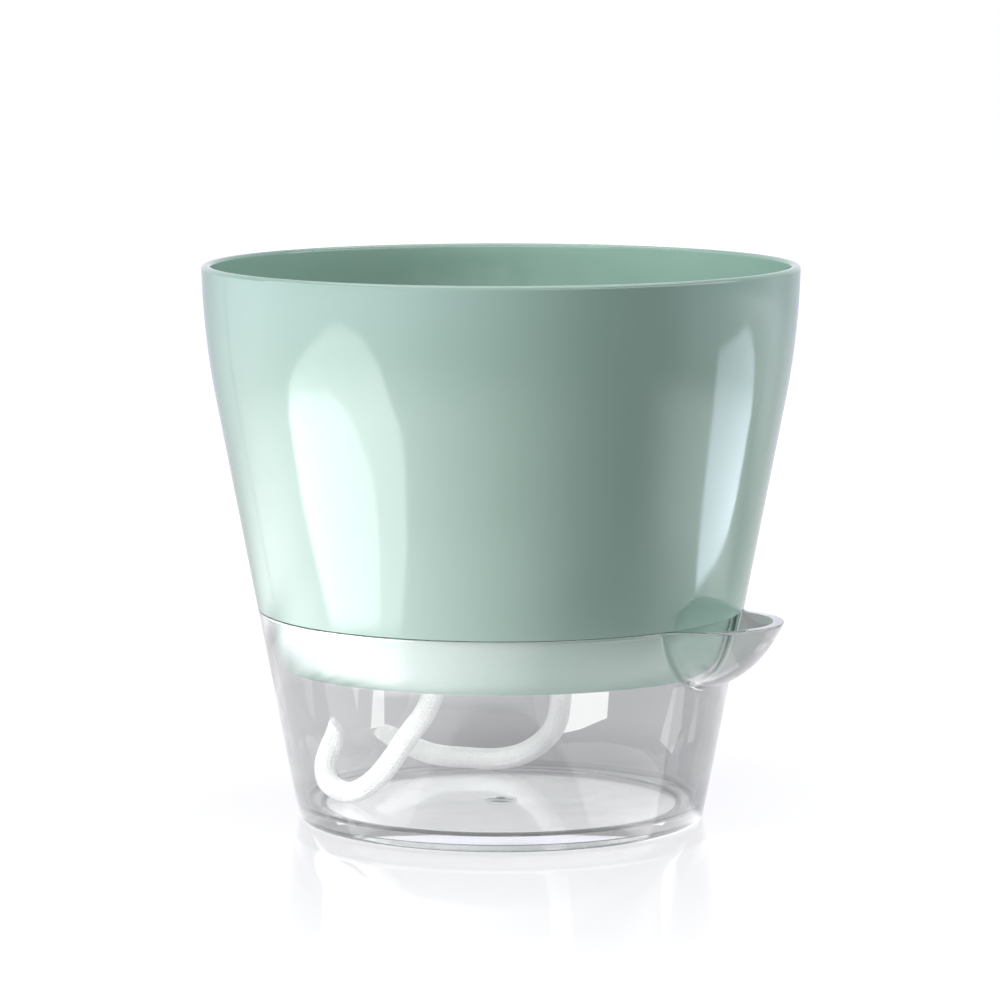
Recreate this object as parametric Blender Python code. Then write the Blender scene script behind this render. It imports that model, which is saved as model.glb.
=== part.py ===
"""Self-watering flower pot: a tapered pot plugs into a clear water tank with a filling spout, and a
cotton wick threaded through the pot's floor draws the water up.

Metres, +Z up, standing on z = 0, with the spout on +X."""

import math

import bmesh
import bpy
from mathutils import Vector
from mathutils.geometry import interpolate_bezier

for old in list(bpy.data.objects):
    bpy.data.objects.remove(old)

# Outline shared by the pot and the tank: a straight cone that turns nearly upright at the rim
OVERALL_HEIGHT = 0.140
RIM_RADIUS = 0.075
WALL_TAPER = math.radians(10.85)
RIM_TAPER = math.radians(1.0)
RIM_CURVE_RADIUS = 0.198

# Clear tank
TANK_HEIGHT = 0.0535
TANK_WALL = 0.0022
TANK_FLOOR = 0.0022
TANK_CORNER = 0.0012
TANK_FILLET = 0.0020
TANK_LIP_EDGE = 0.0005
FOOT_HEIGHT = 0.0018
FOOT_WIDTH = 0.0055
FOOT_DRAFT = 0.0006
GATE_RADIUS = 0.0039
GATE_HEIGHT = 0.0006

# Filling spout: a bowl on an upright axis beside the tank, blended into its wall
SPOUT_REACH = 0.0765
SPOUT_RADIUS = 0.0218
SPOUT_DEPTH = 0.0170
SPOUT_CROWN = 0.0165
SPOUT_WALL = 0.0026
SPOUT_FILLET = 0.0025

# Pot
POT_WALL = 0.0024
POT_FLOOR = 0.0024
POT_LIP_EDGE = 0.0009
POT_FILLET = 0.0030
SHOULDER_EDGE = 0.0004
COLLAR_HEIGHT = 0.0138
COLLAR_CORNER = 0.0015
DRAIN_RADIUS = 0.0025
DRAIN_CIRCLE = 0.036
DRAIN_COUNT = 8

# Wick
WICK_DIAMETER = 0.0057
WICK_HOLE_CIRCLE = 0.0205
WICK_HOLE_ANGLE = math.radians(67.5)

# Route of each wick tail below the pot: x, y and height above where the wick rests in the tank
FRONT_TAIL = [
    (-0.0088, -0.0193, 0.0260),
    (-0.0110, -0.0205, 0.0207),
    (-0.0136, -0.0220, 0.0167),
    (-0.0190, -0.0241, 0.0081),
    (-0.0235, -0.0249, 0.0031),
    (-0.0292, -0.0250, 0.0000),
    (-0.0343, -0.0239, 0.0003),
    (-0.0380, -0.0222, 0.0019),
    (-0.0402, -0.0200, 0.0047),
    (-0.0405, -0.0180, 0.0080),
    (-0.0397, -0.0164, 0.0117),
    (-0.0393, -0.0157, 0.0143),
]

REAR_TAIL = [
    (0.0076, 0.0192, 0.0275),
    (0.0066, 0.0204, 0.0205),
    (0.0024, 0.0260, 0.0126),
    (-0.0044, 0.0314, 0.0065),
    (-0.0122, 0.0346, 0.0020),
    (-0.0200, 0.0352, 0.0000),
    (-0.0282, 0.0328, 0.0000),
    (-0.0355, 0.0286, 0.0009),
    (-0.0410, 0.0234, 0.0040),
    (-0.0449, 0.0180, 0.0078),
]

# Route of the wick inside the pot: share of the way from hole to hole, and height above the pot's floor
BRIDGE_HALF = [(0.0, 0.0030), (0.05, 0.0075), (0.15, 0.0108), (0.30, 0.0119)]
BRIDGE_MIDDLE = (0.5, 0.0114)

# Fits
SEAT_GAP = 0.0003
COLLAR_CLEARANCE = 0.0003
WICK_CLEARANCE = 0.00035
WICK_GAP = 0.0003

# Fineness of the meshes
POT_STEPS = 72
SPOUT_STEPS = 40
TANK_STEPS = 52
SPOUT_LEVELS = 11
RIM_STEPS = 5
CORNER_STEPS = 3
HOLE_STEPS = 20
WICK_SPACING = 0.0055
ROUTE_STEPS = 24
LEVEL_GATHERING = 1.5
BLEND_MARGIN = math.radians(5)
SHARP_ANGLE = math.radians(30)
WELD = 0.000001

# Heights and places that follow from the sizes above
tank_floor_top = FOOT_HEIGHT + TANK_FLOOR
shoulder_z = TANK_HEIGHT + SEAT_GAP
collar_z = shoulder_z - COLLAR_HEIGHT
pot_floor_top = collar_z + POT_FLOOR
spout_offset = SPOUT_REACH - SPOUT_RADIUS
spout_foot = TANK_HEIGHT - SPOUT_DEPTH
spout_half_angle = math.asin(SPOUT_RADIUS / spout_offset) + BLEND_MARGIN
wick_radius = WICK_DIAMETER / 2
wick_rest_z = tank_floor_top + WICK_GAP + wick_radius


def polar(radius, angle):
    return Vector((radius * math.cos(angle), radius * math.sin(angle), 0.0))


wick_holes = {
    "front": -polar(WICK_HOLE_CIRCLE, WICK_HOLE_ANGLE),
    "rear": polar(WICK_HOLE_CIRCLE, WICK_HOLE_ANGLE),
}


def outline_radius(z):
    """Outer radius of the pot and tank at a height."""
    centre_r = RIM_RADIUS - RIM_CURVE_RADIUS * math.cos(RIM_TAPER)
    centre_z = OVERALL_HEIGHT + RIM_CURVE_RADIUS * math.sin(RIM_TAPER)
    curve_z = centre_z - RIM_CURVE_RADIUS * math.sin(WALL_TAPER)
    curve_r = centre_r + RIM_CURVE_RADIUS * math.cos(WALL_TAPER)
    if z < curve_z:
        return curve_r - (curve_z - z) * math.tan(WALL_TAPER)
    return centre_r + math.sqrt(RIM_CURVE_RADIUS**2 - (centre_z - z) ** 2)


def rim_curve_levels(top):
    """Heights that divide the curved upper wall, from its lower end to the given top."""
    drop = RIM_CURVE_RADIUS * (math.sin(WALL_TAPER) - math.sin(RIM_TAPER))
    low = OVERALL_HEIGHT - drop
    return [low + (top - low) * step / RIM_STEPS for step in range(RIM_STEPS + 1)]


def arc(centre, radius, start, end):
    """Points of an arc in the plane of radius and height, angles from the outward direction."""
    turn = [start + (end - start) * step / CORNER_STEPS for step in range(CORNER_STEPS + 1)]
    return [(centre[0] + radius * math.cos(a), centre[1] + radius * math.sin(a)) for a in turn]


def foot_corner(wall, z, radius):
    """The rounded corner where a tapered wall meets a level face at z, from the face to the wall."""
    centre = (wall(z + radius) - radius / math.cos(WALL_TAPER), z + radius)
    return arc(centre, radius, -math.pi / 2, -WALL_TAPER)


def lip(outside, inside, top, edge):
    """The top of a wall with both edges rounded, from the outside to the inside."""
    outer = arc((outside(top) - edge, top - edge), edge, 0.0, math.pi / 2)
    inner = arc((inside(top) + edge, top - edge), edge, math.pi / 2, math.pi)
    return outer + inner


def turned(profile, sectors, start=0.0):
    """A solid turned from (radius, height) points, in sectors of so many steps each."""
    solid = bmesh.new()
    verts = [solid.verts.new(polar(r, start) + Vector((0, 0, z))) for r, z in profile]
    edges = [solid.edges.new(pair) for pair in zip(verts, verts[1:])]
    front = verts + edges
    for angle, steps in sectors:
        spun = bmesh.ops.spin(solid, geom=front, cent=(0, 0, 0), axis=(0, 0, 1), angle=angle, steps=steps)
        front = spun["geom_last"]
    bmesh.ops.remove_doubles(solid, verts=solid.verts, dist=WELD)
    bmesh.ops.recalc_face_normals(solid, faces=solid.faces)
    return solid


def add_object(name, solid, material):
    """A smooth-shaded object made from a finished bmesh."""
    mesh = bpy.data.meshes.new(name)
    solid.to_mesh(mesh)
    solid.free()
    mesh.shade_smooth()
    mesh.set_sharp_from_angle(angle=SHARP_ANGLE)
    mesh.materials.append(material)
    piece = bpy.data.objects.new(name, mesh)
    bpy.context.scene.collection.objects.link(piece)
    return piece


def finish(name, colour, roughness, transmission=0.0):
    """A material with the piece's colour, roughness and clearness."""
    material = bpy.data.materials.new(name)
    material.use_nodes = True
    shader = material.node_tree.nodes["Principled BSDF"]
    shader.inputs["Base Color"].default_value = (*colour, 1.0)
    shader.inputs["Roughness"].default_value = roughness
    shader.inputs["Metallic"].default_value = 0.0
    shader.inputs["Transmission Weight"].default_value = transmission
    return material


# Pot: turned wall with a stepped-in collar, then holes through its floor
def collar_radius(z):
    return outline_radius(z) - TANK_WALL - COLLAR_CLEARANCE


def pot_inside(z):
    return outline_radius(z) - POT_WALL


def collar_inside(z):
    return collar_radius(z) - POT_WALL


def pot_profile():
    """From the middle of the underside out, up, over the rim and down to the middle of the floor."""
    lip_z = OVERALL_HEIGHT - POT_LIP_EDGE
    ledge_z = shoulder_z + POT_WALL
    ledge_width = TANK_WALL + COLLAR_CLEARANCE
    points = [(0.0, collar_z)]
    points += foot_corner(collar_radius, collar_z, COLLAR_CORNER)
    points.append((collar_radius(shoulder_z), shoulder_z))
    points += foot_corner(outline_radius, shoulder_z, SHOULDER_EDGE)
    points += [(outline_radius(z), z) for z in rim_curve_levels(lip_z)[:-1]]
    points += lip(outline_radius, pot_inside, OVERALL_HEIGHT, POT_LIP_EDGE)
    points += [(pot_inside(z), z) for z in reversed(rim_curve_levels(lip_z)[:-1])]
    points.append((pot_inside(ledge_z + ledge_width), ledge_z + ledge_width))
    points.append((collar_inside(ledge_z), ledge_z))
    points += reversed(foot_corner(collar_inside, pot_floor_top, POT_FILLET))
    points.append((0.0, pot_floor_top))
    return points


def floor_hole_cutter():
    """Upright cylinders through the pot's floor, for the wick and for drainage."""
    holes = [(place, wick_radius + WICK_CLEARANCE) for place in wick_holes.values()]
    for index in range(DRAIN_COUNT):
        holes.append((polar(DRAIN_CIRCLE, math.tau * index / DRAIN_COUNT), DRAIN_RADIUS))
    through = 3 * POT_FLOOR
    middle_z = collar_z + POT_FLOOR / 2
    cutter = bmesh.new()
    for place, radius in holes:
        made = bmesh.ops.create_cone(
            cutter, cap_ends=True, segments=HOLE_STEPS, radius1=radius, radius2=radius, depth=through
        )
        bmesh.ops.translate(cutter, verts=made["verts"], vec=place + Vector((0, 0, middle_z)))
    return cutter


def make_pot():
    green = finish("sage_green_plastic", (0.27, 0.41, 0.36), 0.22)
    pot = add_object("planter_pot", turned(pot_profile(), [(math.tau, POT_STEPS)]), green)
    holes = add_object("floor_hole_cutter", floor_hole_cutter(), green)
    holes.hide_render = True
    holes.display_type = "WIRE"
    drilled = pot.modifiers.new("floor_holes", "BOOLEAN")
    drilled.operation = "DIFFERENCE"
    drilled.solver = "EXACT"
    drilled.object = holes
    return pot


# Tank: turned wall and floor, then its wall is pushed out to the blended outline of the spout
def tank_inside(z):
    return outline_radius(z) - TANK_WALL


def bowl_radius(z, inset):
    """Radius of the spout's bowl at a height, inset from its outside. Below its foot it has none."""
    half_height = SPOUT_DEPTH + SPOUT_CROWN
    half_width = SPOUT_RADIUS / math.sqrt(1 - (SPOUT_CROWN / half_height) ** 2)
    rise = (z - TANK_HEIGHT - SPOUT_CROWN) / (half_height - inset)
    if abs(rise) >= 1:
        return None
    return (half_width - inset) * math.sqrt(1 - rise**2)


def blended_gap(gap_a, gap_b, fillet):
    """How far a point lies outside two shapes whose meeting corner is filled to a radius."""
    corner = math.hypot(max(fillet - gap_a, 0.0), max(fillet - gap_b, 0.0))
    return max(fillet, min(gap_a, gap_b)) - corner


def wall_reach(angle, z, cone, inset, fillet):
    """Distance from the axis to the tank's wall at an angle: the cone blended with the spout's bowl."""
    bowl = bowl_radius(z, inset)
    near = cone(z)
    if bowl is None or abs(angle) > spout_half_angle:
        return near
    far = near + SPOUT_REACH
    centre = Vector((spout_offset, 0, 0))
    while far - near > WELD / 10:
        middle = (near + far) / 2
        bowl_gap = (polar(middle, angle) - centre).length - bowl
        if blended_gap(middle - cone(z), bowl_gap, fillet) > 0:
            far = middle
        else:
            near = middle
    return near


def spout_levels(low):
    """Heights that divide the wall beside the spout, closer together towards its foot."""
    top = TANK_HEIGHT - TANK_LIP_EDGE
    steps = range(SPOUT_LEVELS)
    return [low + (top - low) * (step / SPOUT_LEVELS) ** LEVEL_GATHERING for step in steps]


def tank_profile():
    """From the middle of the underside out, up, over the lip and down to the middle of the floor."""
    foot_radius = outline_radius(0) - FOOT_WIDTH
    points = [(0.0, FOOT_HEIGHT), (foot_radius - FOOT_DRAFT, FOOT_HEIGHT), (foot_radius, 0.0)]
    points += foot_corner(outline_radius, 0.0, TANK_CORNER)
    points += [(outline_radius(z), z) for z in spout_levels(spout_foot)]
    points += lip(outline_radius, tank_inside, TANK_HEIGHT, TANK_LIP_EDGE)
    points += [(tank_inside(z), z) for z in reversed(spout_levels(spout_foot + SPOUT_WALL))]
    points += reversed(foot_corner(tank_inside, tank_floor_top, TANK_FILLET))
    points += [(GATE_RADIUS, tank_floor_top), (0.0, tank_floor_top + GATE_HEIGHT)]
    return points


def make_tank():
    clear = finish("clear_plastic", (0.95, 0.96, 0.96), 0.03, transmission=1.0)
    sectors = [(2 * spout_half_angle, SPOUT_STEPS), (math.tau - 2 * spout_half_angle, TANK_STEPS)]
    tank = turned(tank_profile(), sectors, start=-spout_half_angle)
    for vert in tank.verts:
        if vert.co.z < spout_foot:
            continue
        angle = math.atan2(vert.co.y, vert.co.x)
        radius = vert.co.xy.length
        share = (outline_radius(vert.co.z) - radius) / TANK_WALL
        outer = wall_reach(angle, vert.co.z, outline_radius, 0.0, SPOUT_FILLET)
        inner = wall_reach(angle, vert.co.z, tank_inside, SPOUT_WALL, SPOUT_FILLET + SPOUT_WALL)
        vert.co.xy *= (outer + (inner - outer) * share) / radius
    return add_object("water_tank", tank, clear)


# Wick: one cord in three stretches that meet inside the holes of the pot's floor
def smooth_route(points):
    """Evenly spaced points along one smooth curve through the route's own points."""
    knots = [Vector(point) for point in points]
    behind = knots[:1] + knots[:-1]
    ahead = knots[1:] + knots[-1:]
    tangents = [(b - a).normalized() for a, b in zip(behind, ahead)]
    fine = knots[:1]
    for index in range(len(knots) - 1):
        start, end = knots[index], knots[index + 1]
        reach = (end - start).length / 3
        handles = (start + tangents[index] * reach, end - tangents[index + 1] * reach)
        fine += interpolate_bezier(start, *handles, end, ROUTE_STEPS)[1:]
    steps = [(b - a).length for a, b in zip(fine, fine[1:])]
    count = round(sum(steps) / WICK_SPACING)
    spacing = sum(steps) / count
    even = fine[:1]
    travelled = 0.0
    for start, end, step in zip(fine, fine[1:], steps):
        while step > 0 and travelled + step >= spacing * len(even) and len(even) < count:
            even.append(start.lerp(end, (spacing * len(even) - travelled) / step))
        travelled += step
    return even + fine[-1:]


def make_wick_stretch(name, route, cotton):
    """A round tube along a route, with closed ends."""
    curve = bpy.data.curves.new(name, "CURVE")
    curve.dimensions = "3D"
    curve.bevel_depth = wick_radius
    curve.bevel_resolution = 3
    curve.use_fill_caps = True
    points = smooth_route(route)
    spline = curve.splines.new("POLY")
    spline.points.add(len(points) - 1)
    for slot, point in zip(spline.points, points):
        slot.co = (*point, 1.0)
    curve.materials.append(cotton)
    stretch = bpy.data.objects.new(name, curve)
    bpy.context.scene.collection.objects.link(stretch)
    return stretch


def tail_route(hole, places):
    """A tail from its hole down through places given by x, y and height above where the wick rests."""
    joint_z = collar_z + POT_FLOOR / 2
    route = [hole + Vector((0, 0, joint_z - WICK_GAP / 2)), hole + Vector((0, 0, collar_z - wick_radius))]
    return route + [Vector((x, y, wick_rest_z + lift)) for x, y, lift in places]


def bridge_route():
    """Over the pot's floor from hole to hole: out of each one upright, with a slack middle."""
    front, rear = wick_holes["front"], wick_holes["rear"]
    joint_z = collar_z + POT_FLOOR / 2
    rises = BRIDGE_HALF + [BRIDGE_MIDDLE] + [(1 - share, rise) for share, rise in reversed(BRIDGE_HALF)]
    route = [front.lerp(rear, share) + Vector((0, 0, pot_floor_top + rise)) for share, rise in rises]
    ends = [hole + Vector((0, 0, joint_z + WICK_GAP / 2)) for hole in (front, rear)]
    return ends[:1] + route + ends[1:]


# The assembly: the tank stands, and the pot and its wick lift out of it along Z
make_tank()
lifted = bpy.data.objects.new("lifted_pieces", None)
bpy.context.scene.collection.objects.link(lifted)
make_pot().parent = lifted
cotton = finish("white_cotton", (0.86, 0.86, 0.85), 0.9)
make_wick_stretch("wick_front_tail", tail_route(wick_holes["front"], FRONT_TAIL), cotton).parent = lifted
make_wick_stretch("wick_bridge", bridge_route(), cotton).parent = lifted
make_wick_stretch("wick_rear_tail", tail_route(wick_holes["rear"], REAR_TAIL), cotton).parent = lifted
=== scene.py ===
import math

import bmesh
import bpy
from mathutils import Matrix, Vector
from mathutils.geometry import interpolate_bezier


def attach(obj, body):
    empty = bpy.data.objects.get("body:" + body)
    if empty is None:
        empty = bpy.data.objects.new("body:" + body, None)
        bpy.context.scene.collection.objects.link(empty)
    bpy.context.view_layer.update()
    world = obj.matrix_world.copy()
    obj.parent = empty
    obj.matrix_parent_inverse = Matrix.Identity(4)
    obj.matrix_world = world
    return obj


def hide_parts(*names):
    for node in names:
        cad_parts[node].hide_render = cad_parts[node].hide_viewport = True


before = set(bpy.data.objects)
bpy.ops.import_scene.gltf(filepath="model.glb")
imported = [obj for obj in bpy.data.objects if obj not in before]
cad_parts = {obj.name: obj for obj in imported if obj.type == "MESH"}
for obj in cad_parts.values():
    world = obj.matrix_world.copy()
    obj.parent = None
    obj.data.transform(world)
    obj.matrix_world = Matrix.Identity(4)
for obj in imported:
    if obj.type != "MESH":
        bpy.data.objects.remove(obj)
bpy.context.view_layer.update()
scene = bpy.context.scene

# Water tank: one injection moulding in clear plastic, polished but for the satin inside of its floor. It is
# a tapered tub with a filling spout drawn out of its rim in one sweep. It stands on a foot ring, and the pot
# plugs into it from above.
overall_height = 0.140
rim_radius = 0.075
wall_taper = math.radians(10.85)
rim_taper = math.radians(1.0)
rim_curve_radius = 0.198
tank_height = 0.0535
tank_wall = 0.0022
tank_floor = 0.0022
tank_lip_round = 0.0002
tank_floor_corner = 0.0020
foot_height = 0.0018
foot_width = 0.0055
foot_outer_corner = 0.0012
foot_inner_round = 0.0004
foot_draft_degrees = 17
recess_round = 0.0005
recess_inset = 0.0011
recess_flat_inset = 0.0014
spout_reach = 0.0765
spout_radius = 0.0218
spout_depth = 0.0170
spout_crown = 0.0165
spout_wall = 0.0026
spout_fillet = 0.0025
spout_offset = spout_reach - spout_radius
spout_foot = tank_height - spout_depth
spout_margin = math.radians(5)
spout_half_angle = math.asin(spout_radius / spout_offset) + spout_margin
tank_floor_top = foot_height + tank_floor


def outline_radius(z):
    """Outer radius of the pot and tank at a height: a cone that turns nearly upright at the rim."""
    centre_r = rim_radius - rim_curve_radius * math.cos(rim_taper)
    centre_z = overall_height + rim_curve_radius * math.sin(rim_taper)
    curve_z = centre_z - rim_curve_radius * math.sin(wall_taper)
    curve_r = centre_r + rim_curve_radius * math.cos(wall_taper)
    if z < curve_z:
        return curve_r - (curve_z - z) * math.tan(wall_taper)
    return centre_r + math.sqrt(rim_curve_radius**2 - (centre_z - z) ** 2)


def tank_inside(z):
    return outline_radius(z) - tank_wall


def arc(centre, radius, start, end, steps):
    """Points of an arc in the plane of radius and height, angles from the outward direction."""
    turn = [start + (end - start) * step / steps for step in range(steps + 1)]
    return [(centre[0] + radius * math.cos(a), centre[1] + radius * math.sin(a)) for a in turn]


def foot_corner(wall, z, radius, steps):
    """The rounded corner where a tapered wall meets a level face at z, from the face to the wall."""
    centre = (wall(z + radius) - radius / math.cos(wall_taper), z + radius)
    return arc(centre, radius, -math.pi / 2, -wall_taper, steps)


def lip(outside, inside, top, edge, steps):
    """The top of a wall with both edges rounded, from the outside to the inside."""
    outer = arc((outside(top) - edge, top - edge), edge, 0.0, math.pi / 2, steps)
    inner = arc((inside(top) + edge, top - edge), edge, math.pi / 2, math.pi, steps)
    return outer + inner


def spun(profile, sectors, start=0.0):
    """A skin spun from (radius, height) points, in sectors of so many steps each."""
    skin = bmesh.new()
    turn = Matrix.Rotation(start, 3, "Z")
    verts = [skin.verts.new(turn @ Vector((r, 0, z))) for r, z in profile]
    front = verts + [skin.edges.new(pair) for pair in zip(verts, verts[1:])]
    for angle, steps in sectors:
        swept = bmesh.ops.spin(skin, geom=front, cent=(0, 0, 0), axis=(0, 0, 1), angle=angle, steps=steps)
        front = swept["geom_last"]
    bmesh.ops.remove_doubles(skin, verts=skin.verts, dist=1e-7)
    return skin


def bowl_radius(z, inset):
    """Radius of the spout's bowl at a height, inset from its outside. Below its foot it has none."""
    half_height = spout_depth + spout_crown
    half_width = spout_radius / math.sqrt(1 - (spout_crown / half_height) ** 2)
    rise = (z - tank_height - spout_crown) / (half_height - inset)
    if abs(rise) >= 1:
        return None
    return (half_width - inset) * math.sqrt(1 - rise**2)


def wall_reach(angle, z, cone, inset, fillet):
    """Distance from the axis to the tank's wall at an angle: the cone blended with the spout's bowl."""
    bowl = bowl_radius(z, inset)
    near = cone(z)
    if bowl is None or abs(angle) > spout_half_angle:
        return near
    far = near + spout_reach
    closeness = 1e-8
    while far - near > closeness:
        middle = (near + far) / 2
        cone_gap = middle - cone(z)
        across = middle * math.cos(angle) - spout_offset
        bowl_gap = math.hypot(across, middle * math.sin(angle)) - bowl
        corner = math.hypot(max(fillet - cone_gap, 0.0), max(fillet - bowl_gap, 0.0))
        if max(fillet, min(cone_gap, bowl_gap)) > corner:
            far = middle
        else:
            near = middle
    return near


def spout_levels(low, count):
    """Heights that divide the wall beside the spout, closer together towards its foot."""
    top = tank_height - tank_lip_round
    crowding = 1.5
    return [low + (top - low) * (step / count) ** crowding for step in range(count)]


def tank_profile():
    """From the middle of the underside out, up, over the lip and down to the gate mark on the floor."""
    spout_steps = 44
    ring = outline_radius(0) - foot_width
    recess_edge = (ring - recess_inset, foot_height - recess_round)
    ring_edge = (ring + foot_inner_round, foot_inner_round)
    points = [(0.0, foot_height), (ring - recess_flat_inset, foot_height)]
    draft = math.radians(foot_draft_degrees)
    points += reversed(arc(recess_edge, recess_round, draft, math.pi / 2, steps=4))
    points += arc(ring_edge, foot_inner_round, math.pi + draft, 1.5 * math.pi, steps=4)
    points += foot_corner(outline_radius, 0.0, foot_outer_corner, steps=6)
    points += [(outline_radius(z), z) for z in (0.006, 0.012, 0.018, 0.024, 0.030, 0.034)]
    points += [(outline_radius(z), z) for z in spout_levels(spout_foot, spout_steps)]
    points += lip(outline_radius, tank_inside, tank_height, tank_lip_round, steps=4)
    inner_levels = spout_levels(spout_foot + spout_wall, spout_steps)
    points += [(tank_inside(z), z) for z in reversed(inner_levels)]
    points += [(tank_inside(z), z) for z in (0.036, 0.030, 0.024, 0.018, 0.012)]
    points += reversed(foot_corner(tank_inside, tank_floor_top, tank_floor_corner, steps=10))
    points += [(r, tank_floor_top) for r in (0.0470, 0.030, 0.012, 0.0046, 0.0040)]
    gate = [(0.0038, 0.00010), (0.0034, 0.00022), (0.0024, 0.00026), (0.0013, 0.00028), (0.0009, 0.00050)]
    points += [(r, tank_floor_top + rise) for r, rise in gate + [(0.0004, 0.00060), (0.0, 0.00060)]]
    return points


spout_sector = (2 * spout_half_angle, 110)
round_sector = (math.tau - 2 * spout_half_angle, 126)
tank_skin = spun(tank_profile(), [spout_sector, round_sector], start=-spout_half_angle)
bmesh.ops.recalc_face_normals(tank_skin, faces=tank_skin.faces)
# The wall beside the spout is drawn out to the bowl, its outside and its inside each with their own blend.
for vert in tank_skin.verts:
    if vert.co.z >= spout_foot:
        angle = math.atan2(vert.co.y, vert.co.x)
        radius = vert.co.xy.length
        share = (outline_radius(vert.co.z) - radius) / tank_wall
        outer = wall_reach(angle, vert.co.z, outline_radius, 0.0, spout_fillet)
        inner = wall_reach(angle, vert.co.z, tank_inside, spout_wall, spout_fillet + spout_wall)
        vert.co.xy *= (outer + (inner - outer) * share) / radius


def add_piece(name, skin, material, sharp=math.radians(40)):
    """A smooth-shaded object made from a finished bmesh, with edges past the given angle kept crisp."""
    mesh = bpy.data.meshes.new(name)
    skin.to_mesh(mesh)
    skin.free()
    mesh.shade_smooth()
    mesh.set_sharp_from_angle(angle=sharp)
    mesh.materials.append(material)
    piece = bpy.data.objects.new(name, mesh)
    scene.collection.objects.link(piece)
    return piece


def new_material(name):
    """A material, its node tree and its Principled shader."""
    material = bpy.data.materials.new(name)
    material.use_nodes = True
    return material, material.node_tree, material.node_tree.nodes["Principled BSDF"]


def noise_on(tree, coords, scale, detail=2.0):
    """A noise texture on the given coordinates, with so many cells to a unit."""
    texture = tree.nodes.new("ShaderNodeTexNoise")
    texture.inputs["Scale"].default_value = scale
    texture.inputs["Detail"].default_value = detail
    tree.links.new(coords, texture.inputs["Vector"])
    return texture.outputs["Fac"]


def ranged(tree, value, low, high, start=0.3, end=0.7):
    """A value stretched from start..end to low..high."""
    spread = tree.nodes.new("ShaderNodeMapRange")
    spread.inputs["From Min"].default_value = start
    spread.inputs["From Max"].default_value = end
    spread.inputs["To Min"].default_value = low
    spread.inputs["To Max"].default_value = high
    tree.links.new(value, spread.inputs["Value"])
    return spread.outputs["Result"]


def bumped(tree, height, distance, strength):
    """A bump of the given depth in metres."""
    bump = tree.nodes.new("ShaderNodeBump")
    bump.inputs["Distance"].default_value = distance
    bump.inputs["Strength"].default_value = strength
    tree.links.new(height, bump.inputs["Height"])
    return bump


def clear_finish(name, coat, smoothest, roughest):
    """Clear plastic with faint flow lines, so much coat of gloss and a roughness that varies a little."""
    material, tree, shader = new_material(name)
    place = tree.nodes.new("ShaderNodeTexCoord").outputs["Object"]
    shader.inputs["Base Color"].default_value = (0.96, 0.965, 0.965, 1.0)
    shader.inputs["IOR"].default_value = 1.53
    shader.inputs["Transmission Weight"].default_value = 1.0
    shader.inputs["Coat Weight"].default_value = coat
    shader.inputs["Coat Roughness"].default_value = 0.01
    rough = ranged(tree, noise_on(tree, place, scale=160.0, detail=4.0), smoothest, roughest)
    tree.links.new(rough, shader.inputs["Roughness"])
    flow_lines = noise_on(tree, place, scale=45.0, detail=1.0)
    flow = bumped(tree, flow_lines, distance=0.0003, strength=0.2)
    tree.links.new(flow.outputs["Normal"], shader.inputs["Normal"])
    lamp_light = tree.nodes.new("ShaderNodeBsdfTransparent")
    lamp_light.inputs["Color"].default_value = (0.70, 0.705, 0.705, 1.0)
    light_path = tree.nodes.new("ShaderNodeLightPath")
    clear_mix = tree.nodes.new("ShaderNodeMixShader")
    tree.links.new(light_path.outputs["Is Shadow Ray"], clear_mix.inputs["Fac"])
    tree.links.new(shader.outputs["BSDF"], clear_mix.inputs[1])
    tree.links.new(lamp_light.outputs["BSDF"], clear_mix.inputs[2])
    tree.links.new(clear_mix.outputs["Shader"], tree.nodes["Material Output"].inputs["Surface"])
    return material


clear_plastic = clear_finish("polished_clear_plastic", coat=1.0, smoothest=0.003, roughest=0.010)
satin_plastic = clear_finish("satin_clear_plastic", coat=0.0, smoothest=0.07, roughest=0.11)
level_error = 0.00001
for face in tank_skin.faces:
    if abs(face.calc_center_median().z - tank_floor_top) < level_error:
        face.material_index = 1
tank = add_piece("clear_water_tank", tank_skin, clear_plastic)
tank.data.materials.append(satin_plastic)
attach(tank, "tank")
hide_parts("water_tank")


# Planter pot: one injection moulding in glossy sage-green plastic. Its wall steps in to a collar that plugs
# into the tank, the step sits on the tank's rim, and the floor has holes for the wick and for drainage.
pot_wall = 0.0024
pot_floor = 0.0024
collar_height = 0.0138
collar_clearance = 0.0003
collar_corner = 0.0015
shoulder_corner = 0.0002
rim_round = 0.0009
pot_floor_corner = 0.0030
seat_gap = 0.00006
shoulder_z = tank_height + seat_gap
collar_z = shoulder_z - collar_height
pot_floor_top = collar_z + pot_floor
floor_middle = collar_z + pot_floor / 2
wick_diameter = 0.0057
hole_angle = math.radians(67.5)
hole_distance = 0.0205
hole_clearance = 0.00035
hole_round = 0.0003
rear_hole = Vector((hole_distance * math.cos(hole_angle), hole_distance * math.sin(hole_angle), 0.0))
front_hole = -rear_hole
drain_count = 8
drain_distance = 0.036
drain_radius = 0.0025


def collar_radius(z):
    return outline_radius(z) - tank_wall - collar_clearance


def collar_inside(z):
    return collar_radius(z) - pot_wall


def pot_inside(z):
    return outline_radius(z) - pot_wall


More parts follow.
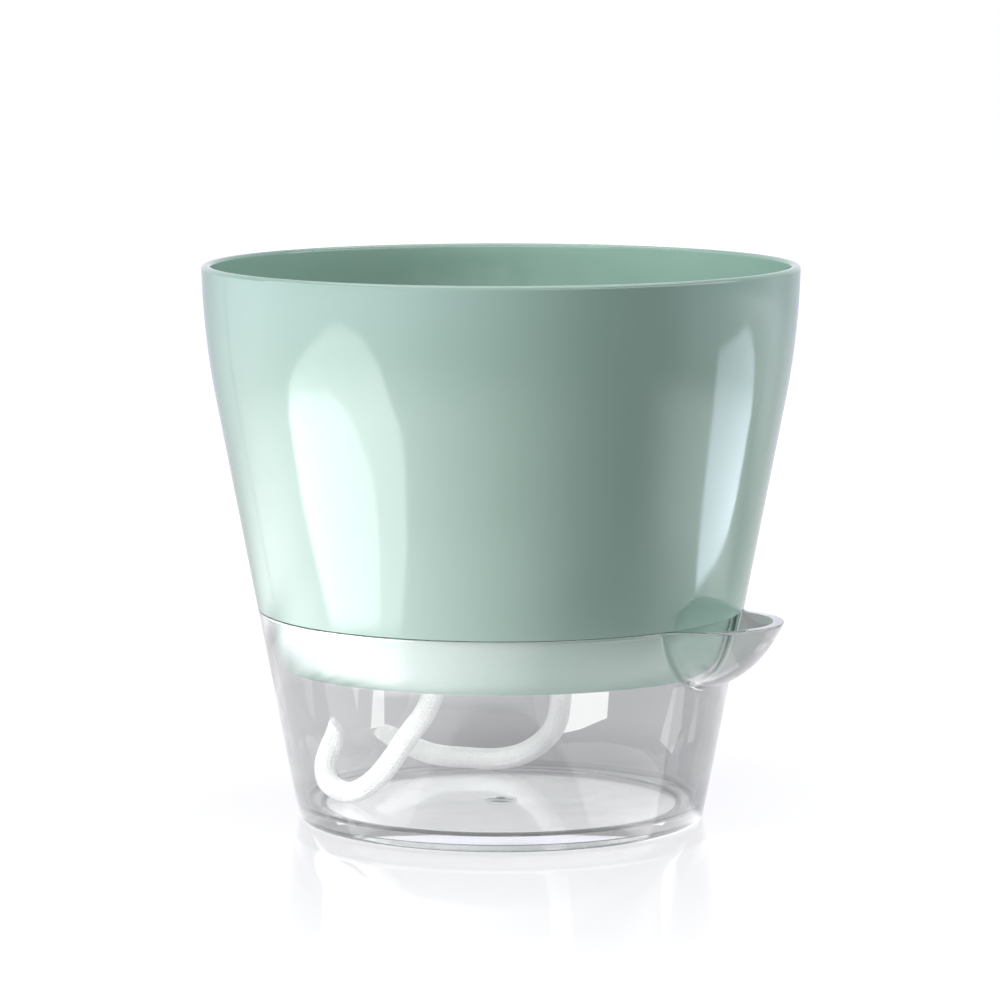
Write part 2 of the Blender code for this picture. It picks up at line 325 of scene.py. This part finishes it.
def pot_profile():
    """From the edge of the underside out, up, over the rim and down to the edge of the floor."""
    ledge_z = shoulder_z + pot_wall
    ledge_width = tank_wall + collar_clearance
    curve_levels = [0.1060 + 0.0025 * step for step in range(13)]
    points = foot_corner(collar_radius, collar_z, collar_corner, steps=6)
    points += [(collar_radius(z), z) for z in (0.044, 0.047, 0.050)]
    points.append((collar_radius(shoulder_z), shoulder_z))
    points += foot_corner(outline_radius, shoulder_z, shoulder_corner, steps=3)
    points += [(outline_radius(z), z) for z in (0.060, 0.070, 0.080, 0.090, 0.098)]
    points += [(outline_radius(z), z) for z in curve_levels]
    points += lip(outline_radius, pot_inside, overall_height, rim_round, steps=6)
    points += [(pot_inside(z), z) for z in reversed(curve_levels)]
    points += [(pot_inside(z), z) for z in (0.098, 0.090, 0.080, 0.070)]
    points += [(pot_inside(ledge_z + ledge_width), ledge_z + ledge_width), (collar_inside(ledge_z), ledge_z)]
    points += reversed(foot_corner(collar_inside, pot_floor_top, pot_floor_corner, steps=8))
    return points


def ring_of(skin, place, radius, z, steps):
    """The edges of a level circle round a hole."""
    made = bmesh.ops.create_circle(
        skin, segments=steps, radius=radius, matrix=Matrix.Translation((place.x, place.y, z))
    )
    return list(dict.fromkeys(edge for vert in made["verts"] for edge in vert.link_edges))


pot_skin = spun(pot_profile(), [(math.tau, 180)])
open_edges = [edge for edge in pot_skin.edges if edge.is_boundary]
under_edges = [edge for edge in open_edges if edge.verts[0].co.z < floor_middle]
upper_edges = [edge for edge in open_edges if edge.verts[0].co.z > floor_middle]
holes = [(hole, wick_diameter / 2 + hole_clearance) for hole in (front_hole, rear_hole)]
for index in range(drain_count):
    drain_angle = math.tau * index / drain_count
    drain = Vector((drain_distance * math.cos(drain_angle), drain_distance * math.sin(drain_angle), 0.0))
    holes.append((drain, drain_radius))
for hole, radius in holes:
    round_middle = radius + hole_round
    below = arc((round_middle, collar_z + hole_round), hole_round, 1.5 * math.pi, math.pi, steps=3)
    above = arc((round_middle, pot_floor_top - hole_round), hole_round, math.pi, math.pi / 2, steps=3)
    rings = [ring_of(pot_skin, hole, r, z, steps=40) for r, z in below + above]
    for lower, upper in zip(rings, rings[1:]):
        bmesh.ops.bridge_loops(pot_skin, edges=lower + upper)
    under_edges += rings[0]
    upper_edges += rings[-1]
bmesh.ops.triangle_fill(pot_skin, use_beauty=True, edges=under_edges)
bmesh.ops.triangle_fill(pot_skin, use_beauty=True, edges=upper_edges)
bmesh.ops.recalc_face_normals(pot_skin, faces=pot_skin.faces)

green_plastic, tree, shader = new_material("glossy_sage_plastic")
place = tree.nodes.new("ShaderNodeTexCoord").outputs["Object"]
tint = tree.nodes.new("ShaderNodeMix")
tint.data_type = "RGBA"
tint.inputs["A"].default_value = (0.243, 0.387, 0.322, 1.0)
tint.inputs["B"].default_value = (0.257, 0.403, 0.338, 1.0)
clouds = noise_on(tree, place, scale=28.0, detail=3.0)
tree.links.new(ranged(tree, clouds, 0.0, 1.0), tint.inputs["Factor"])
tree.links.new(tint.outputs["Result"], shader.inputs["Base Color"])
wear = noise_on(tree, place, scale=220.0, detail=4.0)
tree.links.new(ranged(tree, wear, 0.07, 0.11), shader.inputs["Roughness"])
grain = bumped(tree, noise_on(tree, place, scale=900.0), distance=0.00002, strength=0.08)
tree.links.new(grain.outputs["Normal"], shader.inputs["Normal"])

pot = add_piece("sage_planter_pot", pot_skin, green_plastic, sharp=math.radians(50))
pot.modifiers.new("even_shading", "WEIGHTED_NORMAL").keep_sharp = True
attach(pot, "pot")
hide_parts("planter_pot")


# Wick: one cord of soft white cotton, braided from 32 flat strands round a core. It is threaded through the
# two holes in the pot's floor, so a bridge lies inside the pot and two cut tails lie in the tank.
wick_radius = wick_diameter / 2
wick_rest_gap = 0.0003
wick_rest_z = tank_floor_top + wick_rest_gap + wick_radius
wick_joint_gap = 0.00015
front_places = [
    (-0.0088, -0.0193, 0.0260),
    (-0.0110, -0.0205, 0.0207),
    (-0.0136, -0.0220, 0.0167),
    (-0.0190, -0.0241, 0.0081),
    (-0.0235, -0.0249, 0.0031),
    (-0.0292, -0.0250, 0.0000),
    (-0.0343, -0.0239, 0.0003),
    (-0.0380, -0.0222, 0.0019),
    (-0.0402, -0.0200, 0.0047),
    (-0.0405, -0.0180, 0.0080),
    (-0.0397, -0.0164, 0.0117),
    (-0.0393, -0.0157, 0.0143),
]
rear_places = [
    (0.0076, 0.0192, 0.0275),
    (0.0066, 0.0204, 0.0205),
    (0.0024, 0.0260, 0.0126),
    (-0.0044, 0.0314, 0.0065),
    (-0.0122, 0.0346, 0.0020),
    (-0.0200, 0.0352, 0.0000),
    (-0.0282, 0.0328, 0.0000),
    (-0.0355, 0.0286, 0.0009),
    (-0.0410, 0.0234, 0.0040),
    (-0.0449, 0.0180, 0.0078),
]
bridge_half = [(0.0, 0.0030), (0.05, 0.0075), (0.15, 0.0108), (0.30, 0.0119)]
bridge_places = bridge_half + [(0.5, 0.0114)] + [(1 - share, rise) for share, rise in reversed(bridge_half)]


def tail_route(hole, places):
    """A tail from its hole down through places given by x, y and height above where the wick rests."""
    start = hole + Vector((0, 0, floor_middle - wick_joint_gap))
    below_floor = hole + Vector((0, 0, collar_z - wick_radius))
    return [start, below_floor] + [Vector((x, y, wick_rest_z + lift)) for x, y, lift in places]


def bridge_route():
    """Over the pot's floor from hole to hole: out of each one upright, with a slack middle."""
    lift = [(front_hole.lerp(rear_hole, share), pot_floor_top + rise) for share, rise in bridge_places]
    ends = [hole + Vector((0, 0, floor_middle + wick_joint_gap)) for hole in (front_hole, rear_hole)]
    return ends[:1] + [over + Vector((0, 0, z)) for over, z in lift] + ends[1:]


def even_path(points, spacing):
    """Evenly spaced points along one smooth curve through the route's own points."""
    curve_steps = 48
    behind = points[:1] + points[:-1]
    ahead = points[1:] + points[-1:]
    tangents = [(b - a).normalized() for a, b in zip(behind, ahead)]
    fine = points[:1]
    for index in range(len(points) - 1):
        start = points[index]
        end = points[index + 1]
        reach = (end - start).length / 3
        handles = (start + tangents[index] * reach, end - tangents[index + 1] * reach)
        fine += interpolate_bezier(start, *handles, end, curve_steps)[1:]
    steps = [(b - a).length for a, b in zip(fine, fine[1:])]
    count = round(sum(steps) / spacing)
    stride = sum(steps) / count
    even = fine[:1]
    travelled = 0.0
    for start, end, step in zip(fine, fine[1:], steps):
        while travelled + step >= stride * len(even) and len(even) < count:
            even.append(start.lerp(end, (stride * len(even) - travelled) / step))
        travelled += step
    return even + fine[-1:]


def carried_frames(path):
    """Two directions across the cord at each point of its path, carried along without twist."""
    tangents = [(b - a).normalized() for a, b in zip(path, path[1:])]
    tangents.append(tangents[-1])
    side = tangents[0].orthogonal().normalized()
    frames = [(side, tangents[0].cross(side))]
    for before, after in zip(tangents, tangents[1:]):
        side = before.rotation_difference(after) @ side
        frames.append((side, after.cross(side)))
    return tangents, frames


strand_count = 32
strand_sides = 6
strand_width = 0.00046
strand_depth = 0.00024
braid_radius = 0.00250
braid_wave = 0.00009
braid_pitch = 0.0150
braid_step = 0.00032
core_radius = 0.00238
core_sides = 24
weave_sharpness = 1.7
# The photograph is taken from 28 degrees round from -Y towards +X, and the cut ends slope to its left.
photo_degrees = 28
photo_turn = Matrix.Rotation(math.radians(photo_degrees), 3, "Z")
cut_slant = photo_turn @ Vector((-1, 0, 0))
cut_slope = 0.55
cut_pinch = 0.20
cut_length = 0.0045
cut_reach = 0.009
hair_count = 70
hair_turn = 2.39996
hair_spread = core_radius * 0.8
hair_root = 0.0006
hair_length = 0.0012
hair_extra = 0.0010
hair_curl = 0.0005
hair_stray = 0.0003
hair_sides = 4
hair_shape = [(0.0, 0.00016), (0.35, 0.00014), (0.7, 0.00010), (1.0, 0.00004)]


def add_tube(cord, sides, places, round_way):
    """A tube through the places, where round_way gives each step's two half-axes across it."""
    last = len(places) - 1
    grid = bmesh.ops.create_grid(cord, x_segments=last, y_segments=sides, size=0.5, calc_uvs=True)
    for vert in grid["verts"]:
        step = min(last, max(0, round((vert.co.x + 0.5) * last)))
        around = math.tau * (vert.co.y + 0.5)
        wide, deep = round_way[step]
        vert.co = places[step] + wide * math.cos(around) + deep * math.sin(around)


def add_strand(cord, strand, path, tangents, frames, length):
    """One flat strand of the braid, which winds round the core over two others and under two."""
    last = len(path) - 1
    way = 1 if strand % 2 else -1
    start = math.tau * (strand // 2) / (strand_count // 2)
    lean = math.tau * braid_radius / braid_pitch
    places = []
    axes = []
    for step in range(last + 1):
        side, across = frames[step]
        angle = way * math.tau * length * step / last / braid_pitch + start
        weave = way * max(-1.0, min(1.0, weave_sharpness * math.cos(angle * strand_count / 4)))
        spoke = side * math.cos(angle) + across * math.sin(angle)
        round_way = across * math.cos(angle) - side * math.sin(angle)
        places.append(path[step] + spoke * (braid_radius + braid_wave * weave))
        flat_way = (round_way - tangents[step] * way * lean).normalized()
        axes.append((flat_way * strand_width, spoke * strand_depth))
    add_tube(cord, strand_sides, places, axes)


def cut_off(cord, end, ahead, side, across):
    """A tail's cut end: the strands drawn in and cut on a slant, with short loose hairs."""
    for vert in cord.verts:
        from_end = vert.co - end
        trim = 1 + from_end.dot(ahead) / cut_length
        if trim > 0 and from_end.length < cut_reach:
            nearest = end + ahead * from_end.dot(ahead)
            spread = vert.co - nearest
            slant = ahead * spread.dot(cut_slant) * cut_slope * trim
            vert.co = nearest + spread * (1 - cut_pinch * trim) + slant
    for hair in range(hair_count):
        angle = hair_turn * hair
        spread = hair_spread * math.sqrt((hair + 0.5) / hair_count)
        spoke = side * math.cos(angle) + across * math.sin(angle)
        root = end + spoke * spread + ahead * (spoke.dot(cut_slant) * spread * cut_slope - hair_root)
        reach = hair_length + hair_extra * math.sin(5.1 * hair) ** 2
        bend = spoke * hair_curl * math.sin(3.7 * hair) + side * hair_stray * math.sin(1.9 * hair)
        steps = [root + ahead * reach * share + bend * share**2 for share, thin in hair_shape]
        add_tube(cord, hair_sides, steps, [(side * thin, across * thin) for share, thin in hair_shape])


def braided_cord(name, route, material, cut):
    """One stretch of the braid: a core, strands that wind round it both ways, and a cut end if asked for."""
    path = even_path(route, braid_step)
    tangents, frames = carried_frames(path)
    length = sum((b - a).length for a, b in zip(path, path[1:]))
    cord = bmesh.new()
    uv = cord.loops.layers.uv.new("strand")
    add_tube(cord, core_sides, path, [(side * core_radius, across * core_radius) for side, across in frames])
    for strand in range(strand_count):
        add_strand(cord, strand, path, tangents, frames, length)
    if cut:
        cut_off(cord, path[-1], tangents[-1], *frames[-1])
    millimetres = length * 1000
    for face in cord.faces:
        for loop in face.loops:
            loop[uv].uv.x *= millimetres
    bmesh.ops.remove_doubles(cord, verts=cord.verts, dist=1e-8)
    bmesh.ops.holes_fill(cord, edges=cord.edges, sides=core_sides)
    bmesh.ops.recalc_face_normals(cord, faces=cord.faces)
    piece = add_piece(name, cord, material, sharp=math.radians(70))
    return piece, path, length


cotton, tree, shader = new_material("white_braided_cotton")
shader.inputs["Roughness"].default_value = 0.9
shader.inputs["Sheen Weight"].default_value = 0.3
shader.inputs["Subsurface Weight"].default_value = 0.5
shader.inputs["Subsurface Radius"].default_value = (1.0, 1.0, 1.0)
shader.inputs["Subsurface Scale"].default_value = 0.0006
along = tree.nodes.new("ShaderNodeUVMap")
along.uv_map = "strand"
fibre_map = tree.nodes.new("ShaderNodeMapping")
fibre_map.inputs["Scale"].default_value = (0.8, 9.0, 1.0)
tree.links.new(along.outputs["UV"], fibre_map.inputs["Vector"])
fibre = noise_on(tree, fibre_map.outputs["Vector"], scale=1.6, detail=4.0)
thread = bumped(tree, fibre, distance=0.00012, strength=0.8)
tree.links.new(thread.outputs["Normal"], shader.inputs["Normal"])
shade = tree.nodes.new("ShaderNodeMix")
shade.data_type = "RGBA"
shade.inputs["A"].default_value = (0.80, 0.80, 0.79, 1.0)
shade.inputs["B"].default_value = (0.96, 0.96, 0.95, 1.0)
tree.links.new(ranged(tree, fibre, 0.0, 1.0), shade.inputs["Factor"])
tree.links.new(shade.outputs["Result"], shader.inputs["Base Color"])

wick_pieces = bpy.data.collections.new("wick_pieces")
stretches = [
    ("braided_wick_front", tail_route(front_hole, front_places), "wick_front_tail", front_hole, "bare"),
    ("braided_wick_bridge", bridge_route(), "wick_bridge", front_hole, "object"),
    ("braided_wick_rear", tail_route(rear_hole, rear_places), "wick_rear_tail", rear_hole, "bare"),
]
for name, route, node, hole, far_end in stretches:
    wick, path, length = braided_cord(name, route, cotton, far_end == "bare")
    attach(wick, "pot")
    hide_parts(node)
    wick_pieces.objects.link(wick)


# Floor and surroundings: a white sheet, polished round the object so that it mirrors it faintly. The sheet
# and the world round it are lifted to white where they are seen, and the sheet keeps the object's shadow.
def eased(value, start, end):
    """0 before start and 1 after end, with a smooth step between."""
    share = min(1.0, max(0.0, (value - start) / (end - start)))
    return share * share * (3 - 2 * share)


def sheet_light(turn, out):
    """Brightness in reflections, by degrees from the camera's side, left negative, and by distance out."""
    # Brightest on the left, more so close in, and dimmer straight ahead.
    left = min(1.0, max(0.0, (60 - turn) / 100)) ** 1.6
    left *= eased(turn, -130 - 25 * eased(out, 0.20, 0.26), -88)
    level = 0.7 + 6.2 * left * (1 - 0.45 * eased(out, 0.22, 0.50))
    level += (1 - eased(abs(turn + 45), 40, 80)) * (1 - eased(out, 0.19, 0.23))
    front_dip = 0.8 - 0.45 * eased(out, 0.17, 0.25)
    level -= front_dip * (1 - eased(abs(turn), 25, 75))
    # A pale patch on the right, and a weaker one further out.
    right = eased(turn, 48, 76) * (1 - eased(turn, 100, 122))
    level += 2.0 * right * eased(out, 0.16, 0.27) * (1 - eased(out, 0.34, 0.46))
    level += 0.5 * eased(turn, 64, 76) * (1 - eased(turn, 125, 140)) * eased(out, 0.34, 0.50)
    # Close in lies what the tank's wall mirrors, and round it what the collar mirrors.
    front = 1 - eased(-turn, 55, 135) - eased(turn, 60, 100)
    in_collar = max(0.8 + 1.4 * front, (level + 0.5) * front)
    in_collar += 2.5 * (1 - eased(abs(turn + 62), 16, 26))
    in_tank = 0.7 + 0.6 * front - 0.65 * front * eased(turn, -35, 15)
    in_tank += 1.6 * (1 - eased(abs(turn - 62), 14, 26)) * (1 - eased(out, 0.060, 0.068))
    collar_edge = 0.127 + 0.030 * eased(abs(turn), 20, 130)
    close = in_tank + (in_collar - in_tank) * eased(out, collar_edge - 0.005, collar_edge + 0.005)
    return level + (close - level) * (1 - eased(out, 0.165 - 0.03 * front, 0.20 - 0.03 * front))


def sheet_through(right, away, out):
    """Brightness through clear plastic: painted light under the tank's floor and a painted shadow under its
    foot ring.
    """
    ring = 0.038 + 0.007 * eased(away, -0.02, 0.005)
    level = 1.13 - 1.11 * eased(out, ring, ring + 0.008)
    level += 0.16 * eased(out, 0.050, 0.058) + 0.07 * eased(out, 0.10, 0.15)
    return level + 0.12 * eased(-right, 0.01, 0.06) * eased(out, 0.058, 0.08)


def chosen(tree, ray, otherwise, when):
    """One of two strengths, each a number or a socket, by the kind of ray that sees the surface."""
    pick = tree.nodes.new("ShaderNodeMix")
    tree.links.new(ray, pick.inputs["Factor"])
    for socket, value in (("A", otherwise), ("B", when)):
        if isinstance(value, float):
            pick.inputs[socket].default_value = value
        else:
            tree.links.new(value, pick.inputs[socket])
    return pick.outputs["Result"]


def distance_out(tree):
    """Distance from the middle of the object's base."""
    away = tree.nodes.new("ShaderNodeVectorMath")
    away.operation = "LENGTH"
    tree.links.new(tree.nodes.new("ShaderNodeTexCoord").outputs["Object"], away.inputs[0])
    return away.outputs["Value"]


floor_z = -0.0001
floor_spokes = 144
floor_rings = [0.0, 0.02] + [0.036 + 0.002 * step for step in range(12)]
floor_rings += [0.065 + 0.005 * step for step in range(38)]
floor_rings += [0.25 * 12 ** (step / 20) for step in range(1, 21)]
floor_skin = spun([(radius, floor_z) for radius in floor_rings], [(math.tau, floor_spokes)])
bmesh.ops.recalc_face_normals(floor_skin, faces=floor_skin.faces)
floor_skin.verts.layers.float.new("sheet_light")
floor_skin.verts.layers.float.new("sheet_through")
bright = floor_skin.verts.layers.float["sheet_light"]
behind = floor_skin.verts.layers.float["sheet_through"]
# In reflections the sheet glows in painted bright patches, and through clear plastic in painted light and
# shade under the tank.
for vert in floor_skin.verts:
    seen = photo_turn.inverted() @ vert.co
    vert[bright] = sheet_light(math.degrees(math.atan2(seen.x, -seen.y)), seen.xy.length)
    vert[behind] = sheet_through(seen.x, seen.y, seen.xy.length)
white_sheet, tree, shader = new_material("white_studio_sheet")
shader.inputs["Base Color"].default_value = (0.20, 0.20, 0.20, 1.0)
shader.inputs["Roughness"].default_value = 0.9
shader.inputs["Specular IOR Level"].default_value = 0.0
out = distance_out(tree)
tone = tree.nodes.new("ShaderNodeMix")
tone.data_type = "RGBA"
tone.inputs["A"].default_value = (1.0, 1.0, 1.02, 1.0)
tone.inputs["B"].default_value = (1.0, 1.0, 1.15, 1.0)
tree.links.new(ranged(tree, out, 0.0, 1.0, start=0.35, end=0.90), tone.inputs["Factor"])
tree.links.new(tone.outputs["Result"], shader.inputs["Emission Color"])
mirrored = tree.nodes.new("ShaderNodeAttribute")
mirrored.attribute_name = "sheet_light"
refracted = tree.nodes.new("ShaderNodeAttribute")
refracted.attribute_name = "sheet_through"
rays = tree.nodes.new("ShaderNodeLightPath").outputs
lift = chosen(tree, rays["Is Glossy Ray"], 0.0, mirrored.outputs["Fac"])
through = chosen(tree, rays["Diffuse Depth"], refracted.outputs["Fac"], 0.9)
lift = chosen(tree, rays["Is Transmission Ray"], lift, through)
seen_white = ranged(tree, out, 0.93, 1.05, start=0.16, end=0.60)
lift = chosen(tree, rays["Is Camera Ray"], lift, seen_white)
tree.links.new(lift, shader.inputs["Emission Strength"])
mirror = tree.nodes.new("ShaderNodeBsdfGlossy")
mirror.inputs["Roughness"].default_value = 0.015
sheet_mix = tree.nodes.new("ShaderNodeMixShader")
polish = ranged(tree, out, 0.34, 0.0, start=0.055, end=0.25)
polish = chosen(tree, rays["Is Transmission Ray"], polish, 0.0)
tree.links.new(polish, sheet_mix.inputs["Fac"])
tree.links.new(shader.outputs["BSDF"], sheet_mix.inputs[1])
tree.links.new(mirror.outputs["BSDF"], sheet_mix.inputs[2])
tree.links.new(sheet_mix.outputs["Shader"], tree.nodes["Material Output"].inputs["Surface"])
floor = add_piece("studio_floor", floor_skin, white_sheet)

world = bpy.data.worlds.new("white_studio")
scene.world = world
world.use_nodes = True
tree = world.node_tree
background = tree.nodes["Background"]
background.inputs["Color"].default_value = (1.0, 1.0, 1.1, 1.0)
rays = tree.nodes.new("ShaderNodeLightPath").outputs
lift = chosen(tree, rays["Is Glossy Ray"], 0.24, 1.0)
through = chosen(tree, rays["Diffuse Depth"], 1.0, 0.70)
lift = chosen(tree, rays["Is Transmission Ray"], lift, through)
lift = chosen(tree, rays["Is Camera Ray"], lift, 1.0)
tree.links.new(lift, background.inputs["Strength"])


# Lights: soft panels on the left, in front, behind on the right and above, and two that light the wick alone.
# Bright patches on the table, a pale wall, a ceiling and an upright flag show only in reflections. A grey
# wall round the tank and pale windows behind it show only through clear plastic.
panel_aim = Vector((0, 0, 0.08))
lamp_panels = [
    ("key_panel_left", (-0.97, -0.52, 0.36), (0.6, 0.4), 10.4, False),
    ("fill_panel_front", (-0.29, -1.10, 0.40), (0.5, 0.3), 2.7, False),
    ("edge_panel_right", (1.03, 0.375, 0.30), (0.5, 0.5), 9.0, False),
    ("top_panel", (0.06, -0.30, 1.20), (0.5, 0.5), 4.0, False),
    ("wick_panel_front", (-0.25, -0.80, 0.50), (0.8, 0.6), 9.0, True),
    ("wick_panel_back", (0.25, 0.80, 0.50), (0.8, 0.6), 5.0, True),
]
for name, stand, size, watts, wick_only in lamp_panels:
    lamp = bpy.data.lights.new(name, "AREA")
    lamp.shape = "RECTANGLE"
    lamp.size, lamp.size_y = size
    lamp.energy = watts
    panel = bpy.data.objects.new(name, lamp)
    scene.collection.objects.link(panel)
    panel.location = photo_turn @ Vector(stand)
    panel.rotation_euler = (panel_aim - panel.location).to_track_quat("-Z", "Y").to_euler()
    panel.visible_camera = False
    panel.visible_transmission = False
    panel.visible_glossy = False
    if wick_only:
        panel.light_linking.receiver_collection = wick_pieces
        panel.light_linking.blocker_collection = wick_pieces


def glowing(name, colour):
    """A material that only gives light, and the socket of its strength."""
    glow, tree, shader = new_material(name)
    shader.inputs["Base Color"].default_value = (0.0, 0.0, 0.0, 1.0)
    shader.inputs["Specular IOR Level"].default_value = 0.0
    shader.inputs["Emission Color"].default_value = colour
    return glow, tree, shader.inputs["Emission Strength"]


def add_glow(name, skin, glow, mirrored, refracted):
    """A stage sheet that shows only in reflections, or only through clear plastic."""
    piece = add_piece(name, skin, glow)
    piece.visible_camera = False
    piece.visible_diffuse = False
    piece.visible_shadow = False
    piece.visible_glossy = mirrored
    piece.visible_transmission = refracted


photo_eye = Vector((0.55133, -1.03690, 0.22546))


def mirrored_ray(degrees, z):
    """A place on the pot's wall, and the way that the photograph's line of sight is mirrored there."""
    turn = math.radians(degrees)
    outward = photo_turn @ Vector((math.sin(turn), -math.cos(turn), 0))
    wall = outward * outline_radius(z) + Vector((0, 0, z))
    step = 0.0001
    flare = (outline_radius(z + step) - outline_radius(z - step)) / (2 * step)
    normal = (outward - Vector((0, 0, flare))).normalized()
    sight = (wall - photo_eye).normalized()
    return wall, sight - normal * (2 * sight.dot(normal))


def add_card(name, corners, near, far, colour):
    """A flat sheet that glows in reflections, with its levels near the object and far out."""
    card = bmesh.new()
    card.faces.new([card.verts.new(corner) for corner in corners])
    bmesh.ops.recalc_face_normals(card, faces=card.faces)
    glow, tree, strength = glowing(name, colour)
    level = ranged(tree, distance_out(tree), near, far, start=0.30, end=0.48)
    tree.links.new(level, strength)
    add_glow(name, card, glow, mirrored=True, refracted=False)


# The highlights' outlines on the pot's wall, by degrees from the camera's side and height. The bright patches
# lie on the table where the mirrored lines of sight meet it.
left_outline = [
    (-23.0, 0.0565), (-20.0, 0.0760), (-19.0, 0.1000), (-21.0, 0.1110), (-23.0, 0.1210), (-26.5, 0.1275),
    (-30.5, 0.1300), (-33.5, 0.1290), (-38.0, 0.1245), (-42.0, 0.1195), (-44.5, 0.1140), (-45.5, 0.1055),
    (-45.5, 0.0860), (-43.5, 0.0665), (-42.0, 0.0550), (-33.0, 0.0545),
]
left_core_outline = [
    (-28.0, 0.0570), (-26.0, 0.0810), (-26.0, 0.0905), (-27.0, 0.0980), (-29.0, 0.1050), (-31.5, 0.1110),
    (-35.0, 0.1140), (-43.5, 0.1130), (-45.5, 0.1065), (-45.0, 0.0865), (-43.0, 0.0670), (-41.5, 0.0560),
]
right_outline = [
    (48.5, 0.0635), (46.5, 0.0835), (45.0, 0.1140), (45.0, 0.1230), (52.5, 0.1280), (54.5, 0.1265),
    (56.5, 0.1205), (57.5, 0.1140), (58.5, 0.1050), (58.5, 0.0850), (57.5, 0.0765), (55.0, 0.0705),
    (52.0, 0.0670),
]
white = (1.0, 1.0, 1.0, 1.0)
cool_white = (0.97, 1.0, 1.02, 1.0)
sky_white = (0.88, 0.97, 1.08, 1.0)
table_cards = [
    ("left_window", left_outline, 0.0015, 10.5, 7.6, cool_white),
    ("left_window_core", left_core_outline, 0.0020, 13.5, 9.0, cool_white),
    ("right_window", right_outline, 0.0020, 6.8, 4.0, sky_white),
]
for name, outline, table_z, near, far, colour in table_cards:
    corners = []
    for degrees, height in outline:
        wall, ray = mirrored_ray(degrees, height)
        corners.append(wall + ray * ((table_z - wall.z) / ray.z))
    add_card(name, corners, near, far, colour)

wall_steps = 96
# The grey surround is painted shade: a dim glow seen only through the tank, where the table behind it lies in
# shade.
round_walls = [
    ("grey_surround", 0.145, 0.0172, 0.11, 180, 0.33, False),
    ("pale_wall_front", 1.6, 0.20, 0.90, 100, 4.6, True),
]
for name, radius, low, high, half_turn, level, in_mirrors in round_walls:
    start = math.radians(photo_degrees - 90 - half_turn)
    around = [(math.radians(2 * half_turn), wall_steps)]
    wall_skin = spun([(radius, low), (radius, high)], around, start=start)
    wall_glow, tree, strength = glowing(name, (1.0, 1.0, 1.02, 1.0))
    strength.default_value = level
    add_glow(name, wall_skin, wall_glow, mirrored=in_mirrors, refracted=not in_mirrors)

# The flag stands along the mirrored lines of sight, so the photograph's view meets it edge-on. It keeps the
# bright patches out of the pot's edge in views from the back and the right.
flag_degrees = -64
flag_heights = [0.0588 + 0.0125 * step for step in range(7)]
flag_gap = 0.004
flag_reach = 0.45
flag_foot = 0.0010
flag_top = 0.22
flag = bmesh.new()
flag_rows = []
for height in flag_heights:
    wall, ray = mirrored_ray(flag_degrees, height)
    ends = (flag_gap, min(flag_reach, (flag_foot - wall.z) / ray.z))
    flag_rows.append([flag.verts.new(wall + ray * reach) for reach in ends])
flag_rows.append([flag.verts.new((vert.co.x, vert.co.y, flag_top)) for vert in flag_rows[-1]])
for (near, far), (near_above, far_above) in zip(flag_rows, flag_rows[1:]):
    flag.faces.new((near, far, far_above, near_above))
flag_glow, tree, strength = glowing("pale_flag_left", white)
strength.default_value = 0.9
add_glow("pale_flag_left", flag, flag_glow, mirrored=True, refracted=False)

ceiling_z = 1.5
ceiling_square = [(-1, -1), (1, -1), (1, 1), (-1, 1)]
ceiling_corners = [photo_turn @ Vector((x, y, ceiling_z)) for x, y in ceiling_square]
add_card("pale_ceiling", ceiling_corners, 4.0, 4.0, white)

far_window_away = 0.063
far_window_echo = 0.3
middle_pane = [(0.0150, 0.0220), (0.0300, 0.0220), (0.0295, 0.0140), (0.0220, 0.0110), (0.0150, 0.0095)]
right_pane = [(0.0495, 0.0215), (0.0535, 0.0220), (0.0530, 0.0105), (0.0500, 0.0035), (0.0455, 0.0075)]
far_windows = [
    ("far_window_middle", 1.1, middle_pane),
    ("far_window_left", 0.95, [(-0.0355, 0.0225), (-0.0325, 0.0225), (-0.0325, 0.0120), (-0.0365, 0.0110)]),
    ("far_window_point", 0.7, [(-0.0420, 0.0235), (-0.0395, 0.0235), (-0.0405, 0.0155)]),
    ("far_window_edge", 0.66, [(-0.0595, 0.0270), (-0.0555, 0.0265), (-0.0550, 0.0125), (-0.0570, 0.0135)]),
    ("far_window_right", 0.62, right_pane),
    ("far_window_strip", 0.55, [(0.0580, 0.0190), (0.0600, 0.0190), (0.0595, 0.0065), (0.0560, 0.0060)]),
]
for name, level, corners in far_windows:
    window = bmesh.new()
    window.faces.new([window.verts.new(photo_turn @ Vector((x, far_window_away, z))) for x, z in corners])
    window_glow, tree, strength = glowing(name, white)
    rays = tree.nodes.new("ShaderNodeLightPath").outputs
    tree.links.new(chosen(tree, rays["Glossy Depth"], level, far_window_echo), strength)
    add_glow(name, window, window_glow, mirrored=False, refracted=True)


# Camera: at the photograph's viewing angle, a little above the rim, with the spout turned to the right. Its
# long lens gives the photograph's slight perspective.
photo_heading = math.radians(28.0122)
photo_tilt = 0.123
lens = bpy.data.cameras.new("photo_camera")
lens.lens = 169.006
lens.sensor_width = 36.0
camera = bpy.data.objects.new("photo_camera", lens)
scene.collection.objects.link(camera)
camera.location = photo_eye
camera.rotation_euler = (math.pi / 2 - photo_tilt, 0.0, photo_heading)
scene.camera = camera
scene.view_settings.view_transform = "Standard"
scene.cycles.max_bounces = 24
scene.cycles.glossy_bounces = 16
scene.cycles.transmission_bounces = 24
